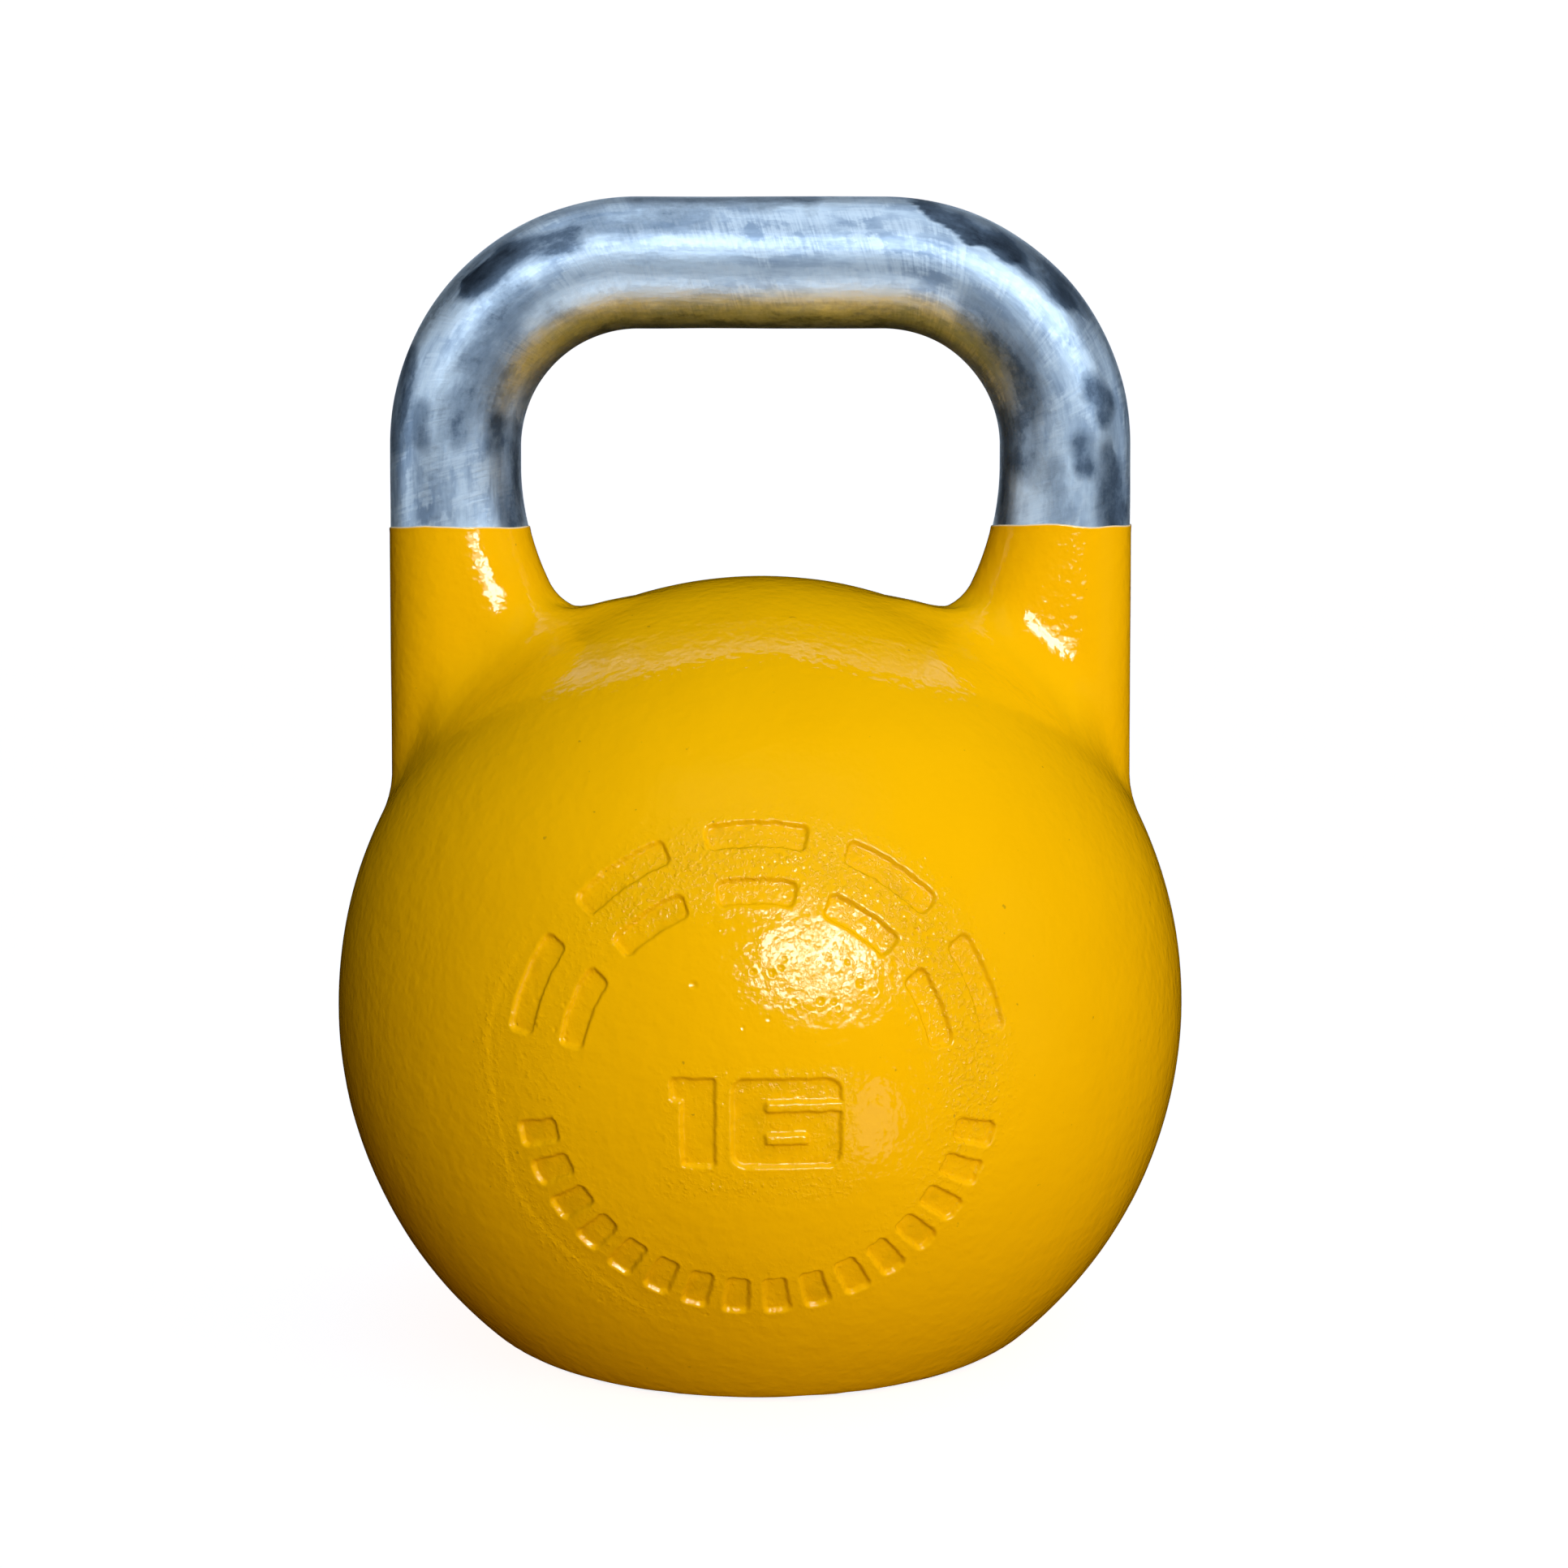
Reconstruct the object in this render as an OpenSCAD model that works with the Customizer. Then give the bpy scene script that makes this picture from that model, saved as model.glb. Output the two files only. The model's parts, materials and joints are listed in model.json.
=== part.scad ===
// Competition kettlebell: a hollow steel casting with a ground handle, an enamel coat,
// a ballast charge, a foam packing and a threaded plug in the base.
// Millimetres. The origin is the centre of the base, +Z is up, the handle runs along X.

/* [Ball] */
// Outside diameter of the painted ball
ball_d = 210; // [200:1:220]
// Height of the ball's centre above the base
ball_z = 81; // [78:0.5:84]
// Rounding between the ball and the flat base
base_edge_r = 12; // [6:0.5:16]
// Wall of the ball
wall_t = 9.5; // [7:0.5:11]
// Floor of the hollow above the base plane
floor_z = 13; // [12.5:0.5:16]

/* [Handle] */
// Height of the whole kettlebell
total_h = 280; // [276:1:284]
// Diameter of the bare handle bar
handle_d = 32.5; // [30:0.5:35]
// Distance between the centre lines of the two legs
leg_span = 152; // [148:1:156]
// Radius of the two upper bends, at the bar's centre line
bend_r = 45.5; // [40:0.5:50]

/* [Horns] */
// How far each horn spreads towards the middle
flare_w = 18.3; // [15:0.1:21]
// Height over which a horn spreads
flare_h = 36.5; // [34:0.5:39]
// Radius of the small arc where a horn meets the top of the ball
flare_toe_r = 13; // [11:0.5:14]

/* [Enamel] */
// Thickness of the enamel coat
enamel_t = 0.3; // [0.2:0.05:0.5]
// Height of the masked line where the enamel stops on the legs
enamel_top = 198.5; // [190:0.5:208]
// Height of the lower edge of the enamel above the base plane
enamel_foot = 1; // [0.5:0.1:2]

/* [Marks] */
// Depth of the cast marks
mark_depth = 1; // [0.6:0.1:1.5]
// Height of the weight numeral
numeral_h = 19; // [16:0.5:20]
// Height of the numeral's level strokes
numeral_stroke = 4.8; // [4:0.1:5.5]
// Width of the numeral's upright strokes
numeral_stem = 7; // [5:0.25:7.5]
// Number of wide bars in each row of the upper arc
wide_bars = 5; // [3:1:5]
// Number of narrow bars in the lower arc
narrow_bars = 16; // [8:1:16]

/* [Base] */
// Diameter of the shallow recess inside the standing ring
recess_d = 88; // [80:1:96]
// Depth of that recess
recess_t = 2.5; // [2:0.25:3]
// Diameter of the filling hole and the plug's shank
plug_d = 36; // [30:1:40]
// Diameter of the plug's flange
flange_d = 48; // [46:1:54]
// Thickness of the plug's flange
flange_t = 4; // [3:0.5:4.5]
// Thickness of the sealing washer
washer_t = 2; // [1.5:0.25:2.5]
// Width across flats of the plug's hexagon socket
socket_af = 14; // [10:1:17]

/* [Filling] */
// Height of the flat face of the ballast
ballast_z = 121; // [120:1:150]

/* [Hidden] */
$fn = 96;

slack = 1;                        // overrun of a cutting tool
fill_gap = 0.1;                   // shrinkage between the filling and the walls around it
thread_gap = 0.1;                 // radial play of the plug's shank
flange_gap = 1;                   // radial room around the flange
side = [-1, 1];                   // left and right
nick = 0.05;                      // step by which smooth faces cross instead of touching
lap = 5;                          // angle by which a groove runs past the horn that it cuts

ball_r = ball_d / 2;
cast_r = ball_r - enamel_t;       // the bare ball under its enamel
leg_x = leg_span / 2;
bar_z = total_h - handle_d / 2;   // centre line of the grip
bend_z = bar_z - bend_r;          // where the legs turn into the bends
grip_half = leg_x - bend_r;       // half of the straight grip

// The inner edge of a horn is a quarter oval made of two arcs that meet at one tangent:
// a long arc down the leg and the toe arc onto the ball.
oval_x = leg_x - handle_d / 2 - flare_w;
// The heights are whole tenths, so that the pieces of the handle meet face to face.
toe_sink = 0.4;                   // how far the toe arc runs into the ball
toe_high = ball_z + sqrt((cast_r + flare_toe_r) * (cast_r + flare_toe_r) - oval_x * oval_x);
toe_z = round(10 * (toe_high - toe_sink)) / 10;
toe_drop = flare_h - flare_toe_r;
oval_top = toe_z + toe_drop;
toe_start = oval_x - 9;           // where the toe has run out on the ball
long_r = (flare_w * flare_w + toe_drop * toe_drop - flare_toe_r * flare_toe_r) / (2 * (flare_w - flare_toe_r));
long_x = oval_x + flare_w - long_r;
meet_angle = atan2(toe_drop, long_r - flare_w);
horn_low = ball_z + 50;           // inside the ball, below every visible part of a horn

recess_r = recess_d / 2;
shank_r = plug_d / 2 - thread_gap;
seat_z = recess_t + 1 + flange_t + washer_t;   // floor of the counterbore
flange_z = recess_t + 1;                       // outer face of the plug
boss_r = plug_d / 2 + 9;
boss_z = seat_z + 14;             // top of the threaded boss inside the hollow
hollow_r = cast_r - wall_t;
socket_t = 9;                     // depth of the hexagon socket
edge_chamfer = 1;

mark_ring_r = 46;                 // mean radius of the upper arc
mark_row_step = 11.5;             // between its two rows of wide bars
mark_wide_h = 5;                  // radial height of a wide bar
mark_wide_a = 24;                 // angle that a wide bar covers
mark_wide_step = 34;
mark_low_r = 48.5;                // mean radius of the narrow bars
mark_low_h = 8.5;
mark_low_a = 6;
mark_low_step = 10;
mark_near = 115;                  // from outside the ball's front face
mark_far = 60;                    // to well inside the wall
one_w = 9.3;                      // widths of the two figures
six_w = 23;
numeral_gap = 3.7;
numeral_z = -8;                   // centre of the numeral, below the ball's centre

// The ball in half section, with its flat base. r is its radius and e its edge rounding.
module ball_section(r, e) {
    edge_x = sqrt((r - e) * (r - e) - (ball_z - e) * (ball_z - e));
    touch_z = ball_z - r * (ball_z - e) / (r - e);
    touch_x = r * edge_x / (r - e);
    intersection() {
        translate([0, ball_z]) circle(r);
        translate([0, touch_z]) square([r + slack, ball_z + r - touch_z + slack]);
    }
    square([edge_x, e]);
    polygon([[0, 0], [edge_x, 0], [edge_x, e], [touch_x, touch_z], [0, touch_z]]);
    intersection() {
        translate([edge_x, e]) circle(e);
        square([edge_x + e, touch_z]);
    }
}

// A grooved wheel about an axis along Y, which cuts the round inner edge of a horn.
// r is the arc's radius at the bottom of the horn's edge, h half the horn's depth.
module horn_groove(x, z, r, h, from, turn) {
    translate([x, 0, z]) rotate([90, 0, 0]) rotate([0, 0, from]) rotate_extrude(angle = turn) difference() {
        translate([0, -h]) square([r + h, 2 * h]);
        translate([r + h, 0]) circle(h);
    }
}

// The right-hand horn. grow is the thickness laid on the bare steel. The faces cross at a slight
// angle where they would otherwise only touch.
module horn(grow) {
    h = handle_d / 2 + grow;
    difference() {
        translate([0, 0, horn_low]) linear_extrude(oval_top - horn_low) {
            translate([leg_x, 0]) circle(h);
            translate([toe_start, nick - h]) square([leg_x - toe_start, 2 * (h - nick)]);
        }
        horn_groove(long_x + nick, oval_top, long_r - grow, h, -meet_angle, meet_angle + lap);
        horn_groove(oval_x, toe_z, flare_toe_r - grow + nick, h, 0, 360);
    }
}

// The ball and its horns, thicker by grow than the bare steel.
module bell_form(grow) {
    rotate_extrude() ball_section(cast_r + grow, base_edge_r - enamel_t + grow);
    horn(grow);
    mirror([1, 0, 0]) horn(grow);
}

// A rectangle in the plane of the marks, taken in by grow on all sides.
module pad(x0, z0, x1, z1, grow) {
    translate([x0 + grow, z0 + grow]) square([x1 - x0 - 2 * grow, z1 - z0 - 2 * grow]);
}

module figure_one(grow) {
    pad(one_w - numeral_stem, 0, one_w, numeral_h, grow);
    pad(0, numeral_h - numeral_stroke, one_w, numeral_h, grow);
}

module figure_six(grow) {
    eye = (numeral_h - 3 * numeral_stroke) / 2;
    difference() {
        pad(0, 0, six_w, numeral_h, grow);
        pad(numeral_stem, numeral_stroke, six_w - numeral_stem, numeral_stroke + eye, -grow);
        pad(numeral_stem, 2 * numeral_stroke + eye, six_w + slack, numeral_h - numeral_stroke, -grow);
    }
}

// A bar of a ring, standing across the mark's plane. a is the angle that it covers.
module ring_bar(r, h, a, centre, grow) {
    trim = grow / r * 180 / PI;
    rotate([0, 0, centre - a / 2 + trim]) rotate_extrude(angle = a - 2 * trim)
        translate([r - h / 2 + grow, mark_far]) square([h - 2 * grow, mark_near - mark_far]);
}

// The marks as cutters: the weight numeral, two rows of wide bars above it and an arc of
// narrow bars below.
module marks(grow) {
    one_x = -(one_w + numeral_gap + six_w) / 2;
    difference() {
        translate([0, 0, ball_z]) rotate([90, 0, 0]) {
            translate([one_x, numeral_z - numeral_h / 2, mark_far]) linear_extrude(mark_near - mark_far) {
                figure_one(grow);
                translate([one_w + numeral_gap, 0]) figure_six(grow);
            }
            for (i = [0 : wide_bars - 1], row = side / 2)
                ring_bar(
                    mark_ring_r + row * mark_row_step, mark_wide_h, mark_wide_a,
                    90 + (i - (wide_bars - 1) / 2) * mark_wide_step, grow
                );
            for (i = [0 : narrow_bars - 1])
                ring_bar(mark_low_r, mark_low_h, mark_low_a, 270 + (i - (narrow_bars - 1) / 2) * mark_low_step, grow);
        }
        translate([0, 0, ball_z]) sphere(cast_r + grow - mark_depth);
    }
}

// The round bar above the horns: two straight legs, two bends and the grip.
module handle_bar() {
    for (s = side) {
        translate([s * leg_x, 0, oval_top]) cylinder(d = handle_d, h = bend_z - oval_top);
    }
    translate([-grip_half, 0, bar_z]) rotate([0, 90, 0]) cylinder(d = handle_d, h = 2 * grip_half);
    translate([grip_half, 0, bend_z]) rotate([90, 0, 0])
        rotate_extrude(angle = 90) translate([bend_r, 0]) circle(d = handle_d);
    translate([-grip_half, 0, bend_z]) rotate([90, 0, 0]) rotate([0, 0, 90])
        rotate_extrude(angle = 90) translate([bend_r, 0]) circle(d = handle_d);
}

// The hollow and its threaded hole, in half section. gap keeps a filling off the walls.
module hollow_section(gap) {
    difference() {
        intersection() {
            translate([0, ball_z]) circle(hollow_r - gap);
            translate([0, floor_z + gap]) square([hollow_r, 2 * hollow_r]);
        }
        translate([0, floor_z - slack]) square([boss_r + gap, boss_z + gap - floor_z + slack]);
    }
}

module bell_casting() {
    color("lightslategray") difference() {
        union() {
            bell_form(0);
            handle_bar();
        }
        rotate_extrude() hollow_section(0);
        translate([0, 0, -slack]) cylinder(r = recess_r, h = recess_t + slack);
        cylinder(d = flange_d + 2 * flange_gap, h = seat_z);
        cylinder(d = plug_d, h = boss_z + slack);
        marks(0);
    }
}

module enamel_coat() {
    color("gold") difference() {
        intersection() {
            bell_form(enamel_t);
            translate([-ball_d, -ball_d, enamel_foot]) cube([2 * ball_d, 2 * ball_d, enamel_top - enamel_foot]);
        }
        difference() {
            bell_form(0);
            marks(0);
        }
        marks(enamel_t);
    }
}

module shot_ballast() {
    color("dimgray") intersection() {
        rotate_extrude() hollow_section(fill_gap);
        translate([-ball_d, -ball_d, ballast_z]) cube([2 * ball_d, 2 * ball_d, ball_d]);
    }
}

module foam_packing() {
    color("khaki") intersection() {
        rotate_extrude() hollow_section(fill_gap);
        translate([-ball_d, -ball_d, 0]) cube([2 * ball_d, 2 * ball_d, ballast_z - fill_gap]);
    }
}

module base_plug() {
    color("gray") difference() {
        union() {
            translate([0, 0, flange_z]) cylinder(d1 = flange_d - 2 * edge_chamfer, d2 = flange_d, h = edge_chamfer);
            translate([0, 0, flange_z + edge_chamfer]) cylinder(d = flange_d, h = flange_t - edge_chamfer);
            translate([0, 0, flange_z + flange_t]) cylinder(r = shank_r, h = boss_z - flange_z - flange_t - edge_chamfer);
            translate([0, 0, boss_z - edge_chamfer]) cylinder(r1 = shank_r, r2 = shank_r - edge_chamfer, h = edge_chamfer);
        }
        translate([0, 0, flange_z - slack]) cylinder(d = socket_af / cos(30), h = socket_t + slack, $fn = 6);
    }
}

module plug_washer() {
    color("darkslategray") translate([0, 0, flange_z + flange_t]) difference() {
        cylinder(d = flange_d, h = washer_t);
        translate([0, 0, -slack]) cylinder(d = plug_d + 0.6, h = washer_t + 2 * slack);
    }
}

bell_casting();
enamel_coat();
shot_ballast();
foam_packing();
base_plug();
plug_washer();
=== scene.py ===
"""The looks of a sport kettlebell: a ground steel handle, thick yellow enamel and cast marks.

Shapes are worked out in millimetres, as smooth distance fields around the CAD sizes, and turned
into metres when a mesh is made. +Z is up, the handle runs along X and the marks face -Y.
"""

import json
import math
import random

import bmesh
import bpy
import numpy as np
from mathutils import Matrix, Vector, noise


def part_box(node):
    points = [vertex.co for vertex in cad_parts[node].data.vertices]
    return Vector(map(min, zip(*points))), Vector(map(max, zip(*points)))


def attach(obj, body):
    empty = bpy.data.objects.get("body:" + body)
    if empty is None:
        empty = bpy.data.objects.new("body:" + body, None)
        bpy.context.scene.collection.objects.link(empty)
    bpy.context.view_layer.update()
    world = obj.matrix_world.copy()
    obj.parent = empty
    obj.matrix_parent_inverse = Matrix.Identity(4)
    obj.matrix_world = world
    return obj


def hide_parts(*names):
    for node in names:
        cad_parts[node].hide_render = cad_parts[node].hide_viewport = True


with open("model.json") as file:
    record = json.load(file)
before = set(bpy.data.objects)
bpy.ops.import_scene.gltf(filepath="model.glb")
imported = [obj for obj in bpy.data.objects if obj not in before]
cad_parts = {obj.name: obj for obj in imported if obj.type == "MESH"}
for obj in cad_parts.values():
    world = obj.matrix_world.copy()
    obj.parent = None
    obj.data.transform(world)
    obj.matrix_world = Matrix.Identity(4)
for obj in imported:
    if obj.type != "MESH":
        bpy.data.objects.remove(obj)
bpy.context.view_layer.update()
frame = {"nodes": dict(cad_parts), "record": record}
scene = bpy.context.scene

MM = 0.001

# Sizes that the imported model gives.
BARE_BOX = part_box("bell_casting")
COAT_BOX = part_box("enamel_coat")
PLUG_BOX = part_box("base_plug")
WASHER_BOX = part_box("plug_washer")
GRIP = next(m for m in frame["record"]["mounts"] if m["name"] == "grip")
BASE_Z = BARE_BOX[0][2] / MM
BAR_R = GRIP["dims"]["r_mm"]
BAR_Z = GRIP["pos_m"][2] / MM
PAINT_Z = COAT_BOX[1][2] / MM          # the masked line on the legs
FOOT_Z = COAT_BOX[0][2] / MM           # the enamel's lower edge

# Sizes of the design that no box gives.
BALL_R = 104.7                         # bare ball
BALL_Z = 81
EDGE_R = 11.7                          # rounding at the base
COAT_T = 0.3
LEG_X = 76
BEND_R = 45.5
OVAL_X = 41.45                         # the horn's inner edge: a long arc, then a toe arc
OVAL_TOP = 213.6
LONG_R = 67.3
TOE_R = 13
TOE_Z = 190.1
HORN_LOW = 118                         # where a horn ends, inside the ball
MARK_DEPTH = 1.0
MARK_PATCH_R = 66

INNER_X = LEG_X - BAR_R
LONG_X = INNER_X - LONG_R
BEND_Z = BAR_Z - BEND_R


# ------------------------------ numbers

def ramp(x, low, high):
    """0 below low, 1 above high, and a smooth rise between them."""
    t = np.clip((x - low) / (high - low), 0, 1)
    return t * t * (3 - 2 * t)


def wander(points, size, seed=0):
    """Smooth noise from about -1 to 1 at each point, whose lumps are about size across."""
    shift = Vector((seed * 17.3, seed * 5.1, seed * 9.7))
    return np.array([noise.noise(Vector(p) / size + shift) for p in points])


def ball_field(p):
    """Distance to the bare ball with its flat base and rounded edge."""
    rho, z = np.hypot(p[:, 0], p[:, 1]), p[:, 2]
    core_r = BALL_R - EDGE_R
    corner = math.sqrt(core_r ** 2 - (BALL_Z - EDGE_R) ** 2)
    reach = np.hypot(rho, z - BALL_Z)
    foot = BALL_Z + (z - BALL_Z) * core_r / np.maximum(reach, 1e-6)
    to_corner = np.hypot(rho - corner, z - EDGE_R)
    flat = np.where(rho <= corner, EDGE_R - z, to_corner)
    return np.where(foot >= EDGE_R, reach - core_r, flat) - EDGE_R


def horn_field(p):
    """Distance to the bare legs and horns, which are a slab with a round edge, as thick as the bar."""
    x, z = np.abs(p[:, 0]), p[:, 2]
    over = np.maximum(x, OVAL_X)
    to_long = np.hypot(over - LONG_X, z - OVAL_TOP) - LONG_R
    to_toe = np.hypot(over - OVAL_X, z - TOE_Z) - TOE_R
    side = (OVAL_X - LONG_X) * (z - OVAL_TOP) - (TOE_Z - OVAL_TOP) * (over - LONG_X)
    from_window = np.where(side > 0, to_long, to_toe)
    from_window = np.where(z > OVAL_TOP, over - INNER_X, from_window)
    inward = np.maximum(BAR_R - from_window, over - LEG_X)
    flat = np.hypot(np.maximum(inward, 0), over - x)
    flat = np.hypot(flat, np.maximum(HORN_LOW - z, 0))
    return np.hypot(flat, p[:, 1]) - BAR_R


VALLEY = 15                            # softness of the valleys before and behind a horn
TOE_SOFT = 4
CREASE = 3                             # and of the crease on a leg's outer side


def bell_field(p):
    """Distance to the bare ball and horns, run together with soft valleys."""
    ball, horn = ball_field(p), horn_field(p)
    faces = TOE_SOFT + (VALLEY - TOE_SOFT) * ramp(np.abs(p[:, 1]), 2, 15)
    outside = ramp(np.abs(p[:, 0]) - LEG_X, 0, 0.8 * BAR_R)
    soft = faces + (CREASE - faces) * outside
    lap = np.maximum(soft - np.abs(ball - horn), 0)
    return np.minimum(ball, horn) - lap * lap / (4 * soft)


def slope(field, p):
    """The field's unit normal at each point."""
    step = 0.05
    out = np.empty_like(p)
    for a in range(3):
        d = np.zeros(3)
        d[a] = step
        out[:, a] = field(p + d) - field(p - d)
    return out / np.maximum(np.linalg.norm(out, axis=1, keepdims=True), 1e-9)


def pull(field, p, level, flat=False, rounds=3):
    """The points moved onto the field's surface at that level, sideways only if flat is set."""
    for _ in range(rounds):
        n = slope(field, p)
        if flat:
            n[:, 2] = 0
            n /= np.maximum(np.linalg.norm(n, axis=1, keepdims=True), 1e-9) ** 2
        p = p - n * (field(p) - level)[:, None]
    return p


# ------------------------------ meshes

def surface_net(field, low, high, step):
    """(points, quads) around the zero of the field, from a cubic grid."""
    axes = [np.arange(a, b, step) for a, b in zip(low, high)]
    nodes = np.stack(np.meshgrid(*axes, indexing="ij"), -1)
    full = (field(nodes.reshape(-1, 3)) < 0).reshape(nodes.shape[:3])
    cells = [n - 1 for n in full.shape]
    count = np.zeros(cells, int)
    for i in (0, 1):
        for j in (0, 1):
            for k in (0, 1):
                count += full[i:i + cells[0], j:j + cells[1], k:k + cells[2]]
    mixed = (count > 0) & (count < 8)
    number = np.full(cells, -1)
    number[mixed] = np.arange(mixed.sum())
    points = nodes[:-1, :-1, :-1][mixed] + step / 2
    quads = []
    for a in range(3):
        b, c = (a + 1) % 3, (a + 2) % 3
        here = full[tuple(slice(1, -1) if x != a else slice(0, -1) for x in range(3))]
        there = full[tuple(slice(1, -1) if x != a else slice(1, None) for x in range(3))]
        for sign in (True, False):
            at = np.argwhere((here != there) & (here == sign))
            at[:, b] += 1
            at[:, c] += 1
            ring = []
            for db, dc in ((0, 0), (-1, 0), (-1, -1), (0, -1)):
                cell = at.copy()
                cell[:, b] += db
                cell[:, c] += dc
                ring.append(number[cell[:, 0], cell[:, 1], cell[:, 2]])
            ring = ring if sign else ring[::-1]
            quads.append(np.stack(ring, 1))
    return points, np.concatenate(quads)


def relax(points, quads, field, rounds):
    """Evens out the quads along the surface."""
    pairs = np.concatenate([quads[:, [i, (i + 1) % 4]] for i in range(4)])
    many = np.bincount(pairs[:, 0], minlength=len(points)).astype(float)
    for _ in range(rounds):
        mean = np.stack([
            np.bincount(pairs[:, 0], points[pairs[:, 1], a], len(points)) for a in range(3)
        ], 1) / many[:, None]
        points = pull(field, points + 0.6 * (mean - points), 0, rounds=1)
    return points


def mesh_object(name, points, faces):
    """An object made from points in millimetres."""
    data = bpy.data.meshes.new(name)
    data.from_pydata([tuple(p) for p in np.asarray(points) * MM], [], [tuple(f) for f in faces])
    data.validate()
    data.polygons.foreach_set("use_smooth", [True] * len(data.polygons))
    obj = bpy.data.objects.new(name, data)
    scene.collection.objects.link(obj)
    return obj


def paint_value(obj, name, values):
    """Stores one number per vertex, or one vector, for the material to read."""
    values = np.asarray(values, np.float32)
    kind, key = ("FLOAT", "value") if values.ndim == 1 else ("FLOAT_VECTOR", "vector")
    layer = obj.data.attributes.new(name, kind, "POINT")
    layer.data.foreach_set(key, values.ravel())


def open_loops(faces):
    """The ordered rings of vertices around a mesh's open edges, in the faces' own direction."""
    after = {}
    edges = set()
    for f in faces:
        for i, v in enumerate(f):
            edges.add((v, f[(i + 1) % len(f)]))
    for a, b in edges:
        if (b, a) not in edges:
            after[a] = b
    loops = []
    while after:
        start, ring = next(iter(after)), []
        v = start
        while v in after:
            ring.append(v)
            v = after.pop(v)
        loops.append(ring)
    return loops


def strip(faces, old, new):
    """Quads that carry a surface on from an open ring to the next ring."""
    for i, v in enumerate(old):
        j = (i + 1) % len(old)
        faces.append((old[j], v, new[i], new[j]))


def ring_quads(base, rows, sides, start=0):
    """Quads between rows of points that each go once round. start is the corner a quad begins at."""
    quads = []
    for i in range(rows - 1):
        a, b = base + i * sides, base + (i + 1) * sides
        for j in range(sides):
            k = (j + 1) % sides
            quad = (a + j, b + j, b + k, a + k)
            quads.append(quad[start:] + quad[:start])
    return quads


def bm_arrays(bm):
    """(points, faces) of a bmesh."""
    bm.verts.index_update()
    points = np.array([v.co[:] for v in bm.verts])
    return points, [[v.index for v in f.verts] for f in bm.faces]


def shell_mesh(step):
    """A bmesh of the bare ball and horns, open at the two masked lines and at the base."""
    low = (-BALL_R - 3 * step, -BALL_R - 3 * step, -2 * step)
    high = (BALL_R + 3 * step, BALL_R + 3 * step, PAINT_Z + 4 * step)
    points, quads = surface_net(bell_field, low, high, step)
    points = pull(bell_field, points, 0)
    keep = (points[quads][:, :, 2] < PAINT_Z + 2 * step).all(1)
    quads = quads[keep]
    fixed = points[:, 2] > PAINT_Z + step
    points = np.where(fixed[:, None], points, relax(points, quads, bell_field, 6))
    bm = bmesh.new()
    verts = [bm.verts.new(p) for p in points]
    for q in quads:
        bm.faces.new([verts[i] for i in q])
    for height, up in ((PAINT_Z - LIP_LOW, 1), (FOOT_Z + 0.4, -1)):
        whole = bm.verts[:] + bm.edges[:] + bm.faces[:]
        bmesh.ops.bisect_plane(
            bm, geom=whole, dist=0.35, plane_co=(0, 0, height), plane_no=(0, 0, up), clear_outer=True
        )
        for e in bm.edges:
            if e.is_boundary and abs(e.verts[0].co.z - height) < 1:
                for v in e.verts:
                    v.co.z = height
    loose = [v for v in bm.verts if not v.link_faces]
    bmesh.ops.delete(bm, geom=loose, context="VERTS")
    return bm


# ------------------------------ cast marks

RING_R, ROW_STEP, WIDE_H, WIDE_A, WIDE_STEP, WIDE_BARS = 46, 11.5, 5, 24, 34, 5
LOW_R, LOW_H, LOW_A, LOW_STEP, LOW_BARS = 48.5, 8.5, 6, 10, 16
FIGURE_H, LEVEL, STEM, ONE_W, SIX_W, FIGURE_GAP, FIGURE_Z = 19, 4.8, 7, 9.3, 23, 3.7, -8
ONE_X = -(ONE_W + FIGURE_GAP + SIX_W) / 2


def block(u, v, x0, z0, x1, z1, r):
    """Distance to a rectangle with round corners."""
    du = np.abs(u - (x0 + x1) / 2) - (x1 - x0) / 2 + r
    dv = np.abs(v - (z0 + z1) / 2) - (z1 - z0) / 2 + r
    return np.hypot(np.maximum(du, 0), np.maximum(dv, 0)) + np.minimum(np.maximum(du, dv), 0) - r


def ring_bar(u, v, r, h, a, centre, corner):
    """Distance to a bar bent round the ball's front, which covers a degrees."""
    turn = np.arctan2(v, u) - math.radians(centre)
    turn = (turn + math.pi) % (2 * math.pi) - math.pi
    half = r * math.radians(a) / 2
    return block(turn * r, np.hypot(u, v) - r, -half, -h / 2, half, h / 2, corner)


def figures(u, v):
    """Distance to the weight numeral."""
    v = v - FIGURE_Z + FIGURE_H / 2
    eye = (FIGURE_H - 3 * LEVEL) / 2
    one = np.minimum(
        block(u, v, ONE_X + ONE_W - STEM, 0, ONE_X + ONE_W, FIGURE_H, 0.7),
        block(u, v, ONE_X, FIGURE_H - LEVEL, ONE_X + ONE_W, FIGURE_H, 0.7),
    )
    left = ONE_X + ONE_W + FIGURE_GAP
    six = block(u, v, left, 0, left + SIX_W, FIGURE_H, 3)
    hole = block(u, v, left + STEM, LEVEL, left + SIX_W - STEM, LEVEL + eye, 0.5)
    mouth = block(u, v, left + STEM, 2 * LEVEL + eye, left + SIX_W + 9, FIGURE_H - LEVEL, 0.5)
    return np.minimum(one, np.maximum(six, np.maximum(-hole, -mouth)))


def marks_field(u, v):
    """Distance to the nearest cast mark in the plane of the marks, from the ball's centre."""
    d = figures(u, v)
    for i in range(WIDE_BARS):
        centre = 90 + (i - (WIDE_BARS - 1) / 2) * WIDE_STEP
        for row in (-0.5, 0.5):
            d = np.minimum(d, ring_bar(u, v, RING_R + row * ROW_STEP, WIDE_H, WIDE_A, centre, 1.4))
    for i in range(LOW_BARS):
        centre = 270 + (i - (LOW_BARS - 1) / 2) * LOW_STEP
        d = np.minimum(d, ring_bar(u, v, LOW_R, LOW_H, LOW_A, centre, 1.2))
    return d


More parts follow.
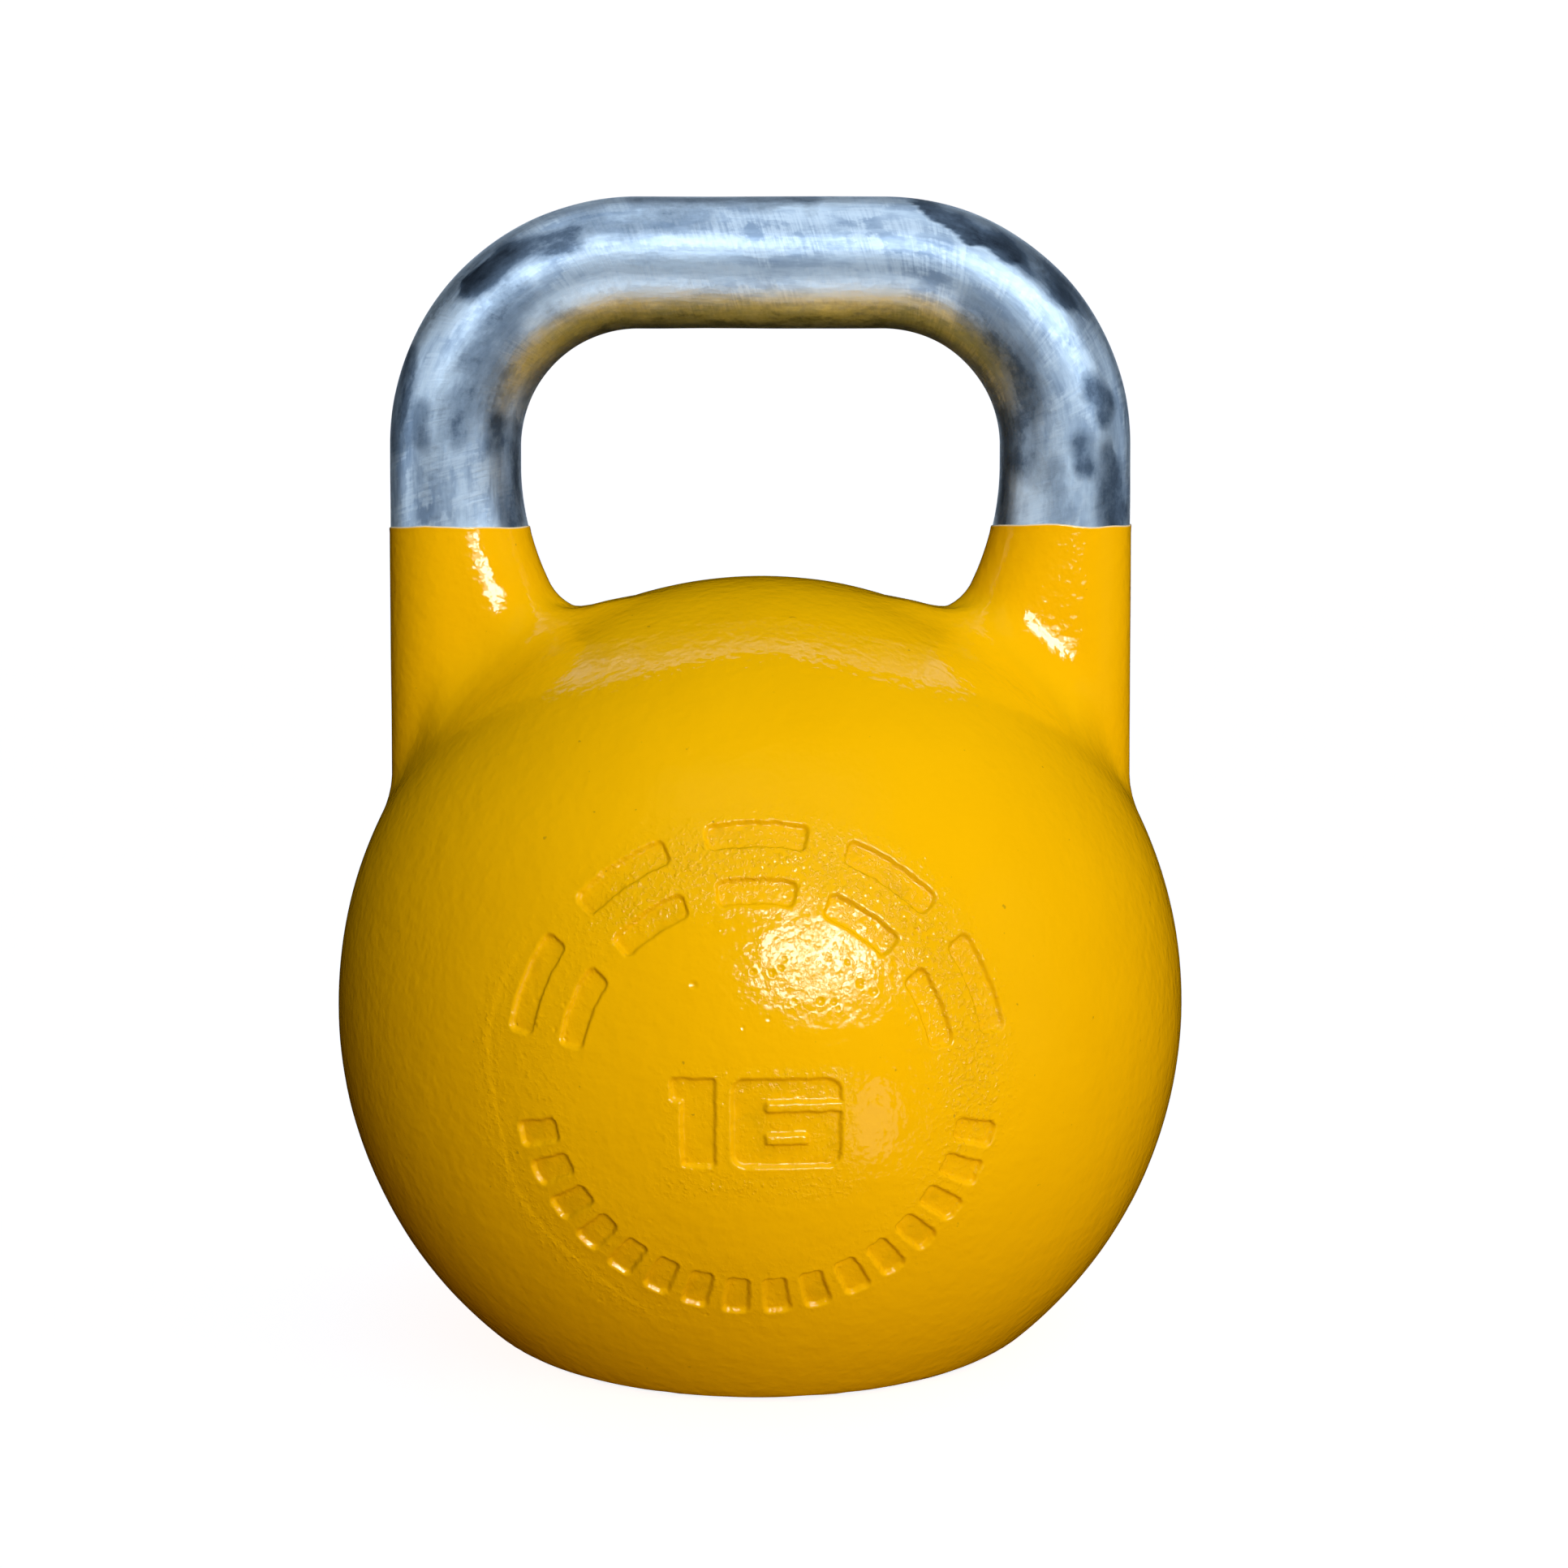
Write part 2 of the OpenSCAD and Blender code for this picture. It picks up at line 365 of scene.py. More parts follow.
def wavy(u, v):
    """The marks' plane, a little warped, because the cast edges wander."""
    at = np.stack([u, v, 0 * u], 1)
    return (
        u + 0.22 * wander(at, 2.4, 1) + 0.1 * wander(at, 0.9, 2),
        v + 0.22 * wander(at, 2.4, 3) + 0.1 * wander(at, 0.9, 4),
    )


def on_patch(p):
    return (p[:, 1] < 0) & (np.hypot(p[:, 0], p[:, 2] - BALL_Z) < MARK_PATCH_R)


dice = random.Random(16)


def pit_cluster(x, z, wide, high, many, small, large):
    """Round gas pits scattered about (x, z) on the ball's front: (x, z, radius)."""
    return [
        (dice.gauss(x, wide), dice.gauss(z, high), dice.uniform(small, large)) for _ in range(many)
    ]


PITS = (
    pit_cluster(14, 22, 11, 5, 26, 0.45, 1.15)
    + pit_cluster(4, 44, 10, 6, 16, 0.3, 0.6)
    + pit_cluster(34, 36, 12, 9, 26, 0.3, 0.7)
    + pit_cluster(-46, 12, 5, 14, 14, 0.3, 0.7)
    + pit_cluster(-4, -22, 22, 4, 14, 0.3, 0.6)
    + pit_cluster(-20, -54, 20, 5, 12, 0.3, 0.7)
)
INSERT_R = 58                          # edge of the mould's insert, seen low on the left
INSERT_STEP = 0.16


def insert_edge(u, v):
    """(distance to the insert's edge, how plain it is there)."""
    turn = np.degrees(np.arctan2(v, u)) % 360
    plain = ramp(turn, 140, 165) * (1 - ramp(turn, 235, 262))
    return np.hypot(u, v) - INSERT_R - 0.8 * np.sin(np.radians(turn) * 9), plain


def relief(p):
    """How far the paint stands out from the plain surface at each point."""
    u, v = p[:, 0], p[:, 2] - BALL_Z
    out = np.zeros(len(p))
    near = on_patch(p)
    u, v = u[near], v[near]
    wu, wv = wavy(u, v)
    d = marks_field(wu, wv)
    inside = ramp(-d, -0.36, 0.36)
    floor = wander(np.stack([u, v, 0 * u], 1), 1.8, 5)
    lip = np.exp(-((d - 0.75) / 0.4) ** 2)
    h = -MARK_DEPTH * inside + inside * 0.1 * floor + 0.05 * lip
    for x, z, r in PITS:
        q = ((u - x) ** 2 + (v - z) ** 2) / (r * r)
        dip = -0.3 * r * np.exp(-2.5 * q)
        rim = 0.06 * r * np.exp(-6 * (np.sqrt(q) - 1.15) ** 2)
        h += np.where(q < 4, dip + rim, 0)
    edge, plain = insert_edge(u, v)
    h -= INSERT_STEP * plain * (1 - ramp(edge, -0.5, 0.5)) * ramp(edge, -14, 0)
    out[near] = h
    return out


def swell(p):
    """The slow unevenness of a hand-finished casting under thick paint."""
    return 0.10 * wander(p, 34, 7) + 0.035 * wander(p, 11, 8)


def roughness_map(p):
    """Where the cast skin shows through the paint: round the marks and low on the left."""
    u, v = p[:, 0], p[:, 2] - BALL_Z
    r = np.hypot(u, v)
    front = ramp(-p[:, 1], 40, 70)
    ring = np.exp(-((r - 47) / 9) ** 2)
    band = np.exp(-((r - INSERT_R) / 4) ** 2) * insert_edge(u, v)[1]
    middle = 0.3 * np.exp(-(((u - 14) / 16) ** 2 + ((v - 24) / 9) ** 2))
    under = 0.5 * np.exp(-((v + 22) / 4) ** 2) * (1 - ramp(np.abs(u), 15, 28))
    numeral = 0.28 * (1 - ramp(np.abs(u), 18, 24)) * (1 - ramp(np.abs(v + 8), 10, 14))
    ring *= 0.3 + 0.6 * ramp(0.7 * v + 0.5 * u, -10, 35)
    return np.clip(front * np.maximum.reduce([ring, 0.45 * band, middle, under, numeral]), 0, 1)


# ------------------------------ enamel

LIP_LOW = 1.6                          # the paint's rolled edge begins this far below the line
# Rows of the paint's upper edge: height above the lip's start, and thickness.
LIP_ROWS = ((0.5, 0.31), (0.9, 0.33), (1.2, 0.35), (1.4, 0.33), (1.53, 0.25), (1.6, 0.13), (1.6, 0.02))
FOOT_ROWS = ((-0.15, 0.29), (-0.3, 0.22), (-0.4, 0.1), (-0.4, 0.02))
BRIM_LOW = 1.3                         # above this the edge's colour is a painted highlight
UNDER = 0.02                           # the coat's inner face, just off the steel
SUNK = 1.55                            # and under the marks, below their floors
NET_STEP = 2.75


def sink(p, level, deep):
    """Level away from the marks, and -deep under them."""
    r = np.hypot(p[:, 0], p[:, 2] - BALL_Z)
    patch = (1 - ramp(r, 62, 70)) * (p[:, 1] < 0)
    return level * (1 - patch) - deep * patch


def refine(bm, needed, level):
    """Splits each face in four where needed says so at its centre, and pulls new points on."""
    for round_ in range(3):
        faces = [f for f in bm.faces if f.calc_center_median().y < -60]
        centres = np.array([f.calc_center_median()[:] for f in faces])
        chosen = needed(centres, round_)
        edges = {e for f, yes in zip(faces, chosen) if yes for e in f.edges}
        before = len(bm.verts)
        bmesh.ops.subdivide_edges(bm, edges=list(edges), cuts=1, use_grid_fill=True)
        bm.verts.ensure_lookup_table()
        fresh = bm.verts[before:]
        placed = pull(bell_field, np.array([v.co[:] for v in fresh]), level, rounds=2)
        for v, p in zip(fresh, placed):
            v.co = p


def needed_near_marks(p, round_):
    """Whether a face there is split in this round: all the patch, then ever closer to an edge."""
    u, v = p[:, 0], p[:, 2] - BALL_Z
    if round_ == 0:
        return np.hypot(u, v) < MARK_PATCH_R - 2
    reach = (None, 1.6, 0.9)[round_]
    want = np.abs(marks_field(u, v)) < reach
    for x, z, r in PITS:
        want |= np.hypot(u - x, v - z) < r + (None, 1.0, 0.6)[round_]
    edge, plain = insert_edge(u, v)
    if round_ == 1:
        want |= (np.abs(edge) < 1.5) & (plain > 0.1)
    return want & (np.hypot(u, v) < MARK_PATCH_R - 3)


def line_wave(p):
    """How the masked line wanders up and down round a leg."""
    side = np.sign(p[:, 0])
    turn = np.arctan2(p[:, 1], np.abs(p[:, 0]) - LEG_X)
    wave = 0.16 * np.sin(3 * turn + side) + 0.1 * np.sin(7 * turn + 2 * side)
    nick = -0.45 * np.exp(-((turn + 1.45) / 0.045) ** 2) * (side < 0)
    right_dip = -0.5 * np.exp(-((turn + 1.25) / 0.3) ** 2) * (side > 0)
    return wave + nick + right_dip + 0.25 * side


def make_enamel(shell):
    """The coat: a thin closed skin with an outer face, an inner face and rolled edges."""
    inner_points, inner_faces = bm_arrays(shell)
    outer = shell.copy()
    for v, p in zip(outer.verts, pull(bell_field, inner_points, COAT_T)):
        v.co = p
    refine(outer, needed_near_marks, COAT_T)
    outer_points, faces = bm_arrays(outer)
    n = slope(bell_field, outer_points)
    height = relief(outer_points) + swell(outer_points)
    rough = roughness_map(outer_points)
    marked = marks_field(outer_points[:, 0], outer_points[:, 2] - BALL_Z)
    # sunk is where the marks are recessed; the material paints shade there.
    sunk = np.where(on_patch(outer_points), ramp(-marked, -0.6, 0.3), 0)
    brim_highlight = [np.zeros(len(outer_points) + len(inner_points))]
    points = [outer_points + n * height[:, None]]
    total = len(outer_points)
    offset = total
    inner_level = sink(inner_points, UNDER, SUNK)
    inner_points = inner_points + slope(bell_field, inner_points) * inner_level[:, None]
    inner_points += slope(bell_field, inner_points) * (swell(inner_points))[:, None]
    points.append(inner_points)
    total += len(inner_points)
    for ring in open_loops(faces):
        start = outer_points[ring]
        high = start[0, 2] > BALL_Z
        last = ring
        for rise, thick in (LIP_ROWS if high else FOOT_ROWS):
            row = start.copy()
            row[:, 2] += rise
            row = pull(bell_field, row, thick, flat=True)
            if high:
                row[:, 2] += line_wave(row) * min(rise / 1.2, 1)
            new = list(range(total, total + len(ring)))
            strip(faces, last, new)
            points.append(row)
            # Rows of the upper lip above BRIM_LOW get a painted highlight in the material.
            brim_highlight.append(np.full(len(row), float(high and rise > BRIM_LOW)))
            total += len(ring)
            last = new
        strip(faces, last, [v + offset for v in ring])
    faces += [[v + offset for v in f[::-1]] for f in inner_faces]
    outer.free()
    points = np.concatenate(points)
    obj = mesh_object("enamel_skin", points, faces)
    spare = np.zeros(len(points) - len(rough))
    paint_value(obj, "rough", np.concatenate([rough, spare]))
    paint_value(obj, "sunk", np.concatenate([sunk, spare]))
    paint_value(obj, "brim_highlight", np.concatenate(brim_highlight))
    return obj


# ------------------------------ steel casting

HANDLE_SIDES = 112
HANDLE_STEP = 1.15
HANDLE_START = PAINT_Z - LIP_LOW + 0.8
SPIN = 160                             # sides of the turned faces
# The turned underside and the hollow, as (radius, height): ring, recess, seat, bore, boss, floor.
RECESS_R, RECESS_T, SEAT_R, SEAT_Z, BORE_R = 44, 2.5, 25, 9.5, 18
BOSS_R, BOSS_Z, FLOOR_Z, HOLLOW_R = 27, 23.5, 13, 95.2


def handle_path():
    """(points, directions) along the handle's centre line, from one masked line to the other."""
    straight = BEND_Z - HANDLE_START
    grip = 2 * (LEG_X - BEND_R)
    arc = BEND_R * math.pi / 2
    whole = 2 * (straight + arc) + grip
    points, ways = [], []
    for s in np.linspace(0, whole, int(whole / HANDLE_STEP) + 1):
        m = min(s, whole - s)
        flip = 1 if s <= whole / 2 else -1
        if m <= straight:
            x, z, a = -LEG_X, HANDLE_START + m, 0
        elif m <= straight + arc:
            a = (m - straight) / BEND_R
            x, z = -LEG_X + BEND_R * (1 - math.cos(a)), BEND_Z + BEND_R * math.sin(a)
        else:
            a = math.pi / 2
            x, z = -LEG_X + BEND_R + (m - straight - arc), BAR_Z
        points.append((x * flip, 0, z))
        ways.append((math.sin(a), 0, math.cos(a) * flip))
    return np.array(points), np.array(ways)


HANDLE_PITS = [                        # (x, height from the bar's centre, radius) on the front
    (30.5, -11.0, 0.5), (31.4, -12.2, 0.6), (3.0, 4.0, 0.3), (-3.5, 5.0, 0.35), (8.5, 2.0, 0.35),
    (17.5, 1.6, 0.3), (-14.0, -1.5, 0.4), (-13.0, -3.0, 0.3), (24.0, -6.0, 0.3), (-30.0, -7.0, 0.3),
] + [(dice.uniform(-34, 40), dice.uniform(-12, 13), dice.uniform(0.15, 0.3)) for _ in range(26)]


def handle_relief(p):
    """Hand grinding leaves slow flats and hollows that run along the bar, and casting pits."""
    along = np.stack([p[:, 0] * 0.45, p[:, 1], p[:, 2] * 0.45], 1)
    h = -0.05 + 0.10 * wander(along, 9, 11) + 0.04 * wander(along, 4, 12)
    front = p[:, 1] < 0
    for x, z, r in HANDLE_PITS:
        q = ((p[:, 0] - x) ** 2 + (p[:, 2] - BAR_Z - z) ** 2) / (r * r)
        h -= np.where(front & (q < 6), 0.5 * r * np.exp(-1.6 * q), 0)
    return np.minimum(h, 0)


# Patches of dark cast skin that the grinding left: (x, z) of both ends, half width, feather on the
# side to the left of that line, feather on its right, strength. First the front, then the back.
SKIN_FRONT = [
    (-71, 257, -62, 264, 1.0, 1.0, 6.5, 1.1), (-62, 264, -46, 270, 1.0, 4.0, 6.5, 0.9),
    (-46, 271, -14, 274, 0.8, 7, 7, 0.55), (-30, 277, 12, 278, 0.8, 5, 4, 0.5),
    (-58, 255, -68, 240, 0.8, 8, 9, 0.66), (-68, 240, -74, 222, 0.8, 9, 9, 0.62),
    (-64, 224, -64.5, 219, 0.6, 5.5, 5.5, 0.85), (-86, 240, -88, 218, 0.6, 4, 6, 0.7),
    (-83, 226, -83, 220, 0.6, 5, 5, 0.7), (-60, 222, -60, 200, 0.6, 4, 8, 0.72),
    (39, 276, 52, 268, 0.9, 6.5, 1.0, 1.0), (52, 268, 62, 263, 1.2, 7.5, 1.0, 1.15),
    (62, 264, 76, 252, 0.8, 8.0, 4.0, 0.8), (52, 249, 64, 236, 0.8, 9, 9, 0.7),
    (64, 236, 63, 214, 0.8, 9, 8, 0.74), (60, 226, 59, 200, 0.6, 7, 4, 0.7),
    (80, 234, 81, 231, 0.6, 4.5, 4.5, 0.95), (84, 229, 84, 225, 0.6, 4.5, 4.5, 0.8),
    (78, 219, 79, 213, 0.6, 5.5, 5.5, 0.85), (87, 214, 88, 200, 0.8, 4, 9, 0.85),
    (72, 212, 74, 202, 0.6, 6, 6, 0.55), (-50, 250, -34, 246, 0.6, 5, 5, 0.5),
]
SKIN_BACK = [
    (70, 258, 48, 270, 1.2, 1.5, 7.0, 1.0), (40, 273, -14, 274, 0.8, 7, 7, 0.55),
    (-60, 266, -80, 248, 1.2, 7.0, 1.5, 1.0), (-64, 226, -70, 238, 0.8, 6, 9, 0.75),
    (72, 222, 68, 238, 0.8, 9, 6, 0.8), (84, 212, 86, 200, 0.8, 5, 7, 0.7),
    (-10, 258, 24, 256, 0.8, 7, 7, 0.5), (-84, 222, -84, 204, 0.8, 7, 6, 0.65),
]


def cast_skin_and_shade(p, outward):
    """How much dark skin is left at each point of the handle, plus painted shade inside the loop.
    outward is 1 outside the loop.
    """
    out = np.zeros(len(p))
    warp = 2.2 * wander(p, 7, 21)
    for patches, here in ((SKIN_FRONT, p[:, 1] < 2), (SKIN_BACK, p[:, 1] > -2)):
        for x0, z0, x1, z1, wide, left, right, strong in patches:
            ax, az = p[:, 0] - x0, p[:, 2] - z0
            bx, bz = x1 - x0, z1 - z0
            t = np.clip((ax * bx + az * bz) / (bx * bx + bz * bz), 0, 1)
            d = np.hypot(ax - t * bx, az - t * bz) + warp
            feather = np.where(bx * az - bz * ax > 0, left, right)
            out = np.maximum(out, strong * here * (1 - ramp(d, wide, wide + feather)))
    # Painted shade: the inside of the loop, under the bar, is darkened.
    inside = ramp(-outward, 0.45, 1.05) * ramp(p[:, 2], 226, 256)
    return np.maximum(out, 0.9 * inside)


def turned_profile():
    """The turned faces from the base's outer edge to the top of the hollow, with small chamfers."""
    core_r = BALL_R - EDGE_R
    corner = math.sqrt(core_r ** 2 - (BALL_Z - EDGE_R) ** 2)
    start = math.acos((EDGE_R - FOOT_Z) / EDGE_R)
    rows = [
        (corner + EDGE_R * math.sin(a), EDGE_R - EDGE_R * math.cos(a))
        for a in np.linspace(start, 0, 8)
    ]
    rows += [(r, 0) for r in np.arange(corner - 2, RECESS_R + 1, -2)]
    rows += [(RECESS_R + 0.6, 0), (RECESS_R, 0.6)]
    rows += [(RECESS_R, RECESS_T - 0.5), (RECESS_R - 0.5, RECESS_T)]
    rows += [(r, RECESS_T) for r in np.arange(RECESS_R - 2, SEAT_R + 1, -2)]
    rows += [(SEAT_R + 0.5, RECESS_T), (SEAT_R, RECESS_T + 0.5)]
    rows += [(SEAT_R, SEAT_Z), (BORE_R + 0.6, SEAT_Z)]
    rows += [(BORE_R, z) for z in np.linspace(SEAT_Z + 0.6, BOSS_Z - 0.6, 8)]
    rows += [(BORE_R + 0.6, BOSS_Z), (BOSS_R - 2, BOSS_Z), (BOSS_R, BOSS_Z - 2), (BOSS_R, FLOOR_Z + 3)]
    rows += [(BOSS_R + 0.9, FLOOR_Z + 0.9), (BOSS_R + 3, FLOOR_Z)]
    rim = math.acos((BALL_Z - FLOOR_Z) / HOLLOW_R)
    rows += [(r, FLOOR_Z) for r in np.arange(34, HOLLOW_R * math.sin(rim) - 3, 6)]
    rows += [
        (HOLLOW_R * math.sin(a), BALL_Z - HOLLOW_R * math.cos(a)) for a in np.linspace(rim, math.pi, 48)
    ]
    return rows


def bridge(bm, first, second):
    """Joins two open rings of different counts with one band of faces."""
    def ring_edges(ring):
        return [bm.edges.get((a, b)) for a, b in zip(ring, ring[1:] + ring[:1])]
    bmesh.ops.bridge_loops(bm, edges=ring_edges(first) + ring_edges(second))


def make_casting(shell):
    """One skin: the hidden ball and horns, the bare handle, the turned base and the hollow."""
    points, faces = bm_arrays(shell)
    level = sink(points, -0.02, SUNK + 0.3)
    points = points + slope(bell_field, points) * (level + swell(points))[:, None]
    rings = open_loops(faces)
    centre, way = handle_path()
    count = len(centre)
    across = np.cross(way, (0, 1, 0))
    turns = np.linspace(0, 2 * math.pi, HANDLE_SIDES, endpoint=False)
    tube = (
        centre[:, None, :]
        + BAR_R * (np.cos(turns)[None, :, None] * across[:, None, :]
                   + np.sin(turns)[None, :, None] * np.array([0, 1.0, 0]))
    ).reshape(-1, 3)
    # Near the masked line the bar still has the horn's shape, so it is pulled onto it.
    tube = np.where((tube[:, 2] < OVAL_TOP)[:, None], pull(bell_field, tube, 0, flat=True), tube)
    out = tube - np.repeat(centre, HANDLE_SIDES, 0)
    out /= np.linalg.norm(out, axis=1, keepdims=True)
    tube += out * handle_relief(tube)[:, None]
    base = len(points)
    faces += ring_quads(base, count, HANDLE_SIDES)
    skin = np.concatenate([np.zeros(base), cast_skin_and_shade(tube, np.tile(np.cos(turns), count))])
    # Along the bar, and twice across it, so that scratches follow the bar round its bends.
    rows = np.repeat(np.arange(count), HANDLE_SIDES) * HANDLE_STEP
    turn = np.tile(turns, count)
    lay = np.stack(
        [rows + 0.3 * BAR_R * np.cos(turn), BAR_R * np.cos(turn), BAR_R * np.sin(turn)], 1
    ) * MM
    lay = np.concatenate([points * MM, lay])
    points = np.concatenate([points, tube])
    ends = [
        [base + j for j in range(HANDLE_SIDES)],
        [base + (count - 1) * HANDLE_SIDES + j for j in range(HANDLE_SIDES)],
    ]
    base = len(points)
    profile = turned_profile()
    spin = np.linspace(0, 2 * math.pi, SPIN, endpoint=False)
    turned = np.array([
        (r * math.cos(a), r * math.sin(a), z) for r, z in profile[:-1] for a in spin
    ])
    faces += ring_quads(base, len(profile) - 1, SPIN, 3)
    pole = base + len(turned)
    last = pole - SPIN
    for j in range(SPIN):
        faces.append((last + (j + 1) % SPIN, last + j, pole))
    points = np.concatenate([points, turned, [[0, 0, profile[-1][1]]]])
    rest = points[len(skin):]
    # Painted shade: the outer edge of the base is darkened as if in shadow.
    rim = ramp(np.hypot(rest[:, 0], rest[:, 1]), 60, 63) * (rest[:, 2] < EDGE_R)
    skin = np.concatenate([skin, 1.8 * rim])
    lay = np.concatenate([lay, points[len(lay):] * MM])
    bm = bmesh.new()
    verts = [bm.verts.new(p) for p in points]
    for f in faces:
        bm.faces.new([verts[i] for i in f])
    foot = [verts[base + j] for j in range(SPIN)]
    for ring in rings:
        here = points[ring[0]]
        if here[2] < BALL_Z:
            other = foot
        else:
            other = [verts[i] for i in (ends[0] if here[0] < 0 else ends[1])]
        bridge(bm, [verts[i] for i in ring], other)
    bmesh.ops.recalc_face_normals(bm, faces=bm.faces[:])
    for v in bm.verts:
        v.co *= MM
    data = bpy.data.meshes.new("steel_casting")
    bm.to_mesh(data)
    bm.free()
    data.polygons.foreach_set("use_smooth", [True] * len(data.polygons))
    data.set_sharp_from_angle(angle=math.radians(40))
    obj = bpy.data.objects.new("steel_casting", data)
    scene.collection.objects.link(obj)
    # skin holds the dark cast skin and the painted shade inside the loop and at the base edge.
    paint_value(obj, "skin", skin)
    paint_value(obj, "lay", lay)
    return obj


# ------------------------------ plug and washer

PLUG_SIDES = 144
THREAD_PITCH = 2.0
THREAD_DEEP = 0.9
SOCKET_AF = 14
SOCKET_T = 9


def hexagon(turn, flats):
    """Distance from the centre to a hexagon's side in that direction."""
    sixth = math.pi / 3
    return flats / 2 / np.cos((turn + sixth / 2) % sixth - sixth / 2)


def make_plug():
    """A threaded plug: a turned flange with a ring groove, a hexagon socket and a cut thread."""
    low, high = PLUG_BOX[0][2] / MM, PLUG_BOX[1][2] / MM
    flange_r = PLUG_BOX[1][0] / MM
    shank_r = BORE_R - 0.1
    flange_top = WASHER_BOX[0][2] / MM
    turn = np.linspace(0, 2 * math.pi, PLUG_SIDES, endpoint=False)
    hexed = hexagon(turn, SOCKET_AF)
    rows = [(0 * turn, low + SOCKET_T + 1.0), (0.35 * hexed, low + SOCKET_T + 0.6)]
    rows += [(0.7 * hexed, low + SOCKET_T), (hexed - 0.05, low + SOCKET_T)]
    rows += [(hexed, z) for z in np.linspace(low + SOCKET_T - 0.1, low + 1.2, 6)]
    mouth = np.full_like(turn, SOCKET_AF / 2 / math.cos(math.pi / 6) + 0.3)
    rows += [(np.maximum(hexed, mouth - 1.2), low + 1.1), (np.maximum(hexed, mouth - 0.5), low + 0.5)]
    rows += [(mouth, low + 0.05), (mouth + 0.1, low)]
    plain = np.ones_like(turn)
    rows += [(r * plain, low) for r in (11, 13.5)]
    rows += [(14 * plain, low + 0.4), (14.8 * plain, low + 0.4), (15.3 * plain, low)]
    rows += [(r * plain, low) for r in (18, 21, flange_r - 1.05)]
    rows += [((flange_r - 0.9) * plain, low + 0.08), ((flange_r - 0.1) * plain, low + 0.9)]
    rows += [(flange_r * plain, low + 1.1), (flange_r * plain, flange_top - 0.3)]
    rows += [((flange_r - 0.3) * plain, flange_top), ((shank_r - 0.9) * plain, flange_top)]
    start, end = flange_top + 2.2, high - 1.4
    for z in np.arange(start, end, THREAD_PITCH / 6):
        wave = np.abs((z / THREAD_PITCH - turn / (2 * math.pi)) % 1 * 2 - 1)
        fade = min(1, (z - start) / 1.5 + 0.2, (end - z) / 1.5 + 0.2)
        rows += [(shank_r - THREAD_DEEP * fade * wave, z)]
    rows += [((shank_r - THREAD_DEEP) * plain, high - 1.2), ((shank_r - 1.6) * plain, high)]
    rows += [(9 * plain, high), (0 * turn, high)]
    points = []
    for r, z in rows:
        points += [(a * math.cos(t), a * math.sin(t), z) for a, t in zip(r, turn)]
    obj = mesh_object("threaded_plug", points, ring_quads(0, len(rows), PLUG_SIDES, 3))
    weld(obj, 40)
    return obj


def weld(obj, angle):
    """Merges doubled points, drops flat faces, turns the faces outward and marks sharp edges."""
    bm = bmesh.new()
    bm.from_mesh(obj.data)
    bmesh.ops.remove_doubles(bm, verts=bm.verts[:], dist=1e-6)
    bmesh.ops.dissolve_degenerate(bm, dist=1e-7, edges=bm.edges[:])
    bmesh.ops.recalc_face_normals(bm, faces=bm.faces[:])
    bm.to_mesh(obj.data)
    bm.free()
    obj.data.polygons.foreach_set("use_smooth", [True] * len(obj.data.polygons))
    obj.data.set_sharp_from_angle(angle=math.radians(angle))


def make_washer():
    """A moulded ring with round edges, squeezed a little between the flange and its seat."""
    low, high = WASHER_BOX[0][2] / MM, WASHER_BOX[1][2] / MM
    outer, inner = WASHER_BOX[1][0] / MM, BORE_R + 0.3
    half = (high - low) / 2
    middle = (outer + inner) / 2
    reach = (outer - inner) / 2
    points, faces = [], []
    sides, around = 144, 24
    for i in range(sides):
        a = 2 * math.pi * i / sides
        for j in range(around):
            b = 2 * math.pi * j / around
            x = math.copysign(abs(math.cos(b)) ** 0.35, math.cos(b)) * reach
            z = math.copysign(abs(math.sin(b)) ** 0.35, math.sin(b)) * half
            r = middle + x
            points.append((r * math.cos(a), r * math.sin(a), low + half + z))
    for i in range(sides):
        for j in range(around):
            a, b = i * around, (i + 1) % sides * around
            k = (j + 1) % around
            faces.append((a + j, b + j, b + k, a + k))
    obj = mesh_object("sealing_washer", points, faces)
    weld(obj, 50)
    return obj


# ------------------------------ materials

